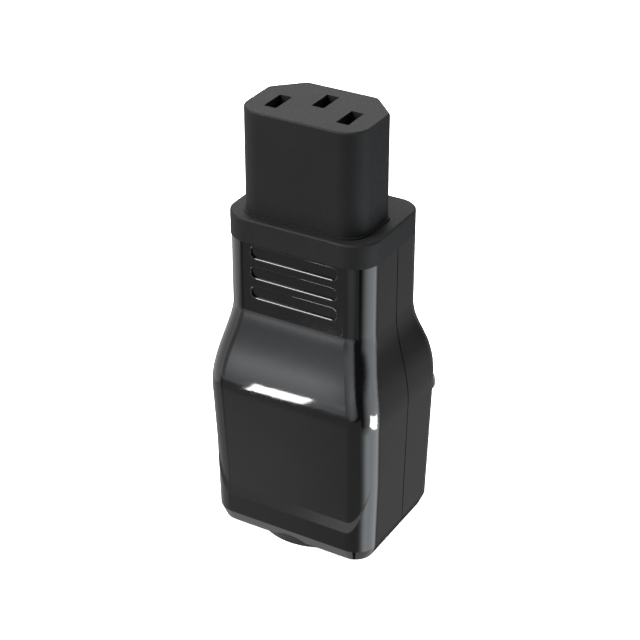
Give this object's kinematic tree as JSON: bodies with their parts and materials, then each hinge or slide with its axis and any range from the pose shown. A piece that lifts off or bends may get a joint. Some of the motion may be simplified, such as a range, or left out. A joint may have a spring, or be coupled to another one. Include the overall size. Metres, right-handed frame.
{
  "type": "iec power plug",
  "caption": "Rewireable appliance connector with a slotted nose, a flanged contact carrier, a two-shell grip body, a cord clamp and a round cable collar.",
  "frame": {"origin": "centre of the cable bore's mouth, on the collar's end face that the connector stands on", "axes": "+Z along the cable axis towards the nose, -Y towards the front face with the grip grooves, +X to the right of that face"},
  "size_m": [0.0346, 0.0283, 0.0843],
  "materials": {
    "carrier_plastic": "moulded, fine matt grain",
    "shell_plastic": "moulded, high gloss",
    "collar_plastic": "turned, matt",
    "grommet_rubber": "moulded",
    "contact_brass": "pressed",
    "plated_screw": "nickel plated"
  },
  "bodies": {
    "root": {"contact_carrier": "carrier_plastic", "contact_retainer": "carrier_plastic", "front_shell": "shell_plastic", "rear_shell": "shell_plastic", "cable_collar": "collar_plastic", "cord_clamp_bar": "collar_plastic", "cable_grommet": "grommet_rubber", "line_contact": "contact_brass", "neutral_contact": "contact_brass", "earth_contact": "contact_brass", "line_terminal": "contact_brass", "neutral_terminal": "contact_brass", "earth_terminal": "contact_brass", "line_terminal_screw": "plated_screw", "neutral_terminal_screw": "plated_screw", "earth_terminal_screw": "plated_screw", "retainer_screws": "plated_screw", "shell_screws": "plated_screw", "cord_clamp_screws": "plated_screw", "shell_nuts": "plated_screw"}
  },
  "joints": []
}
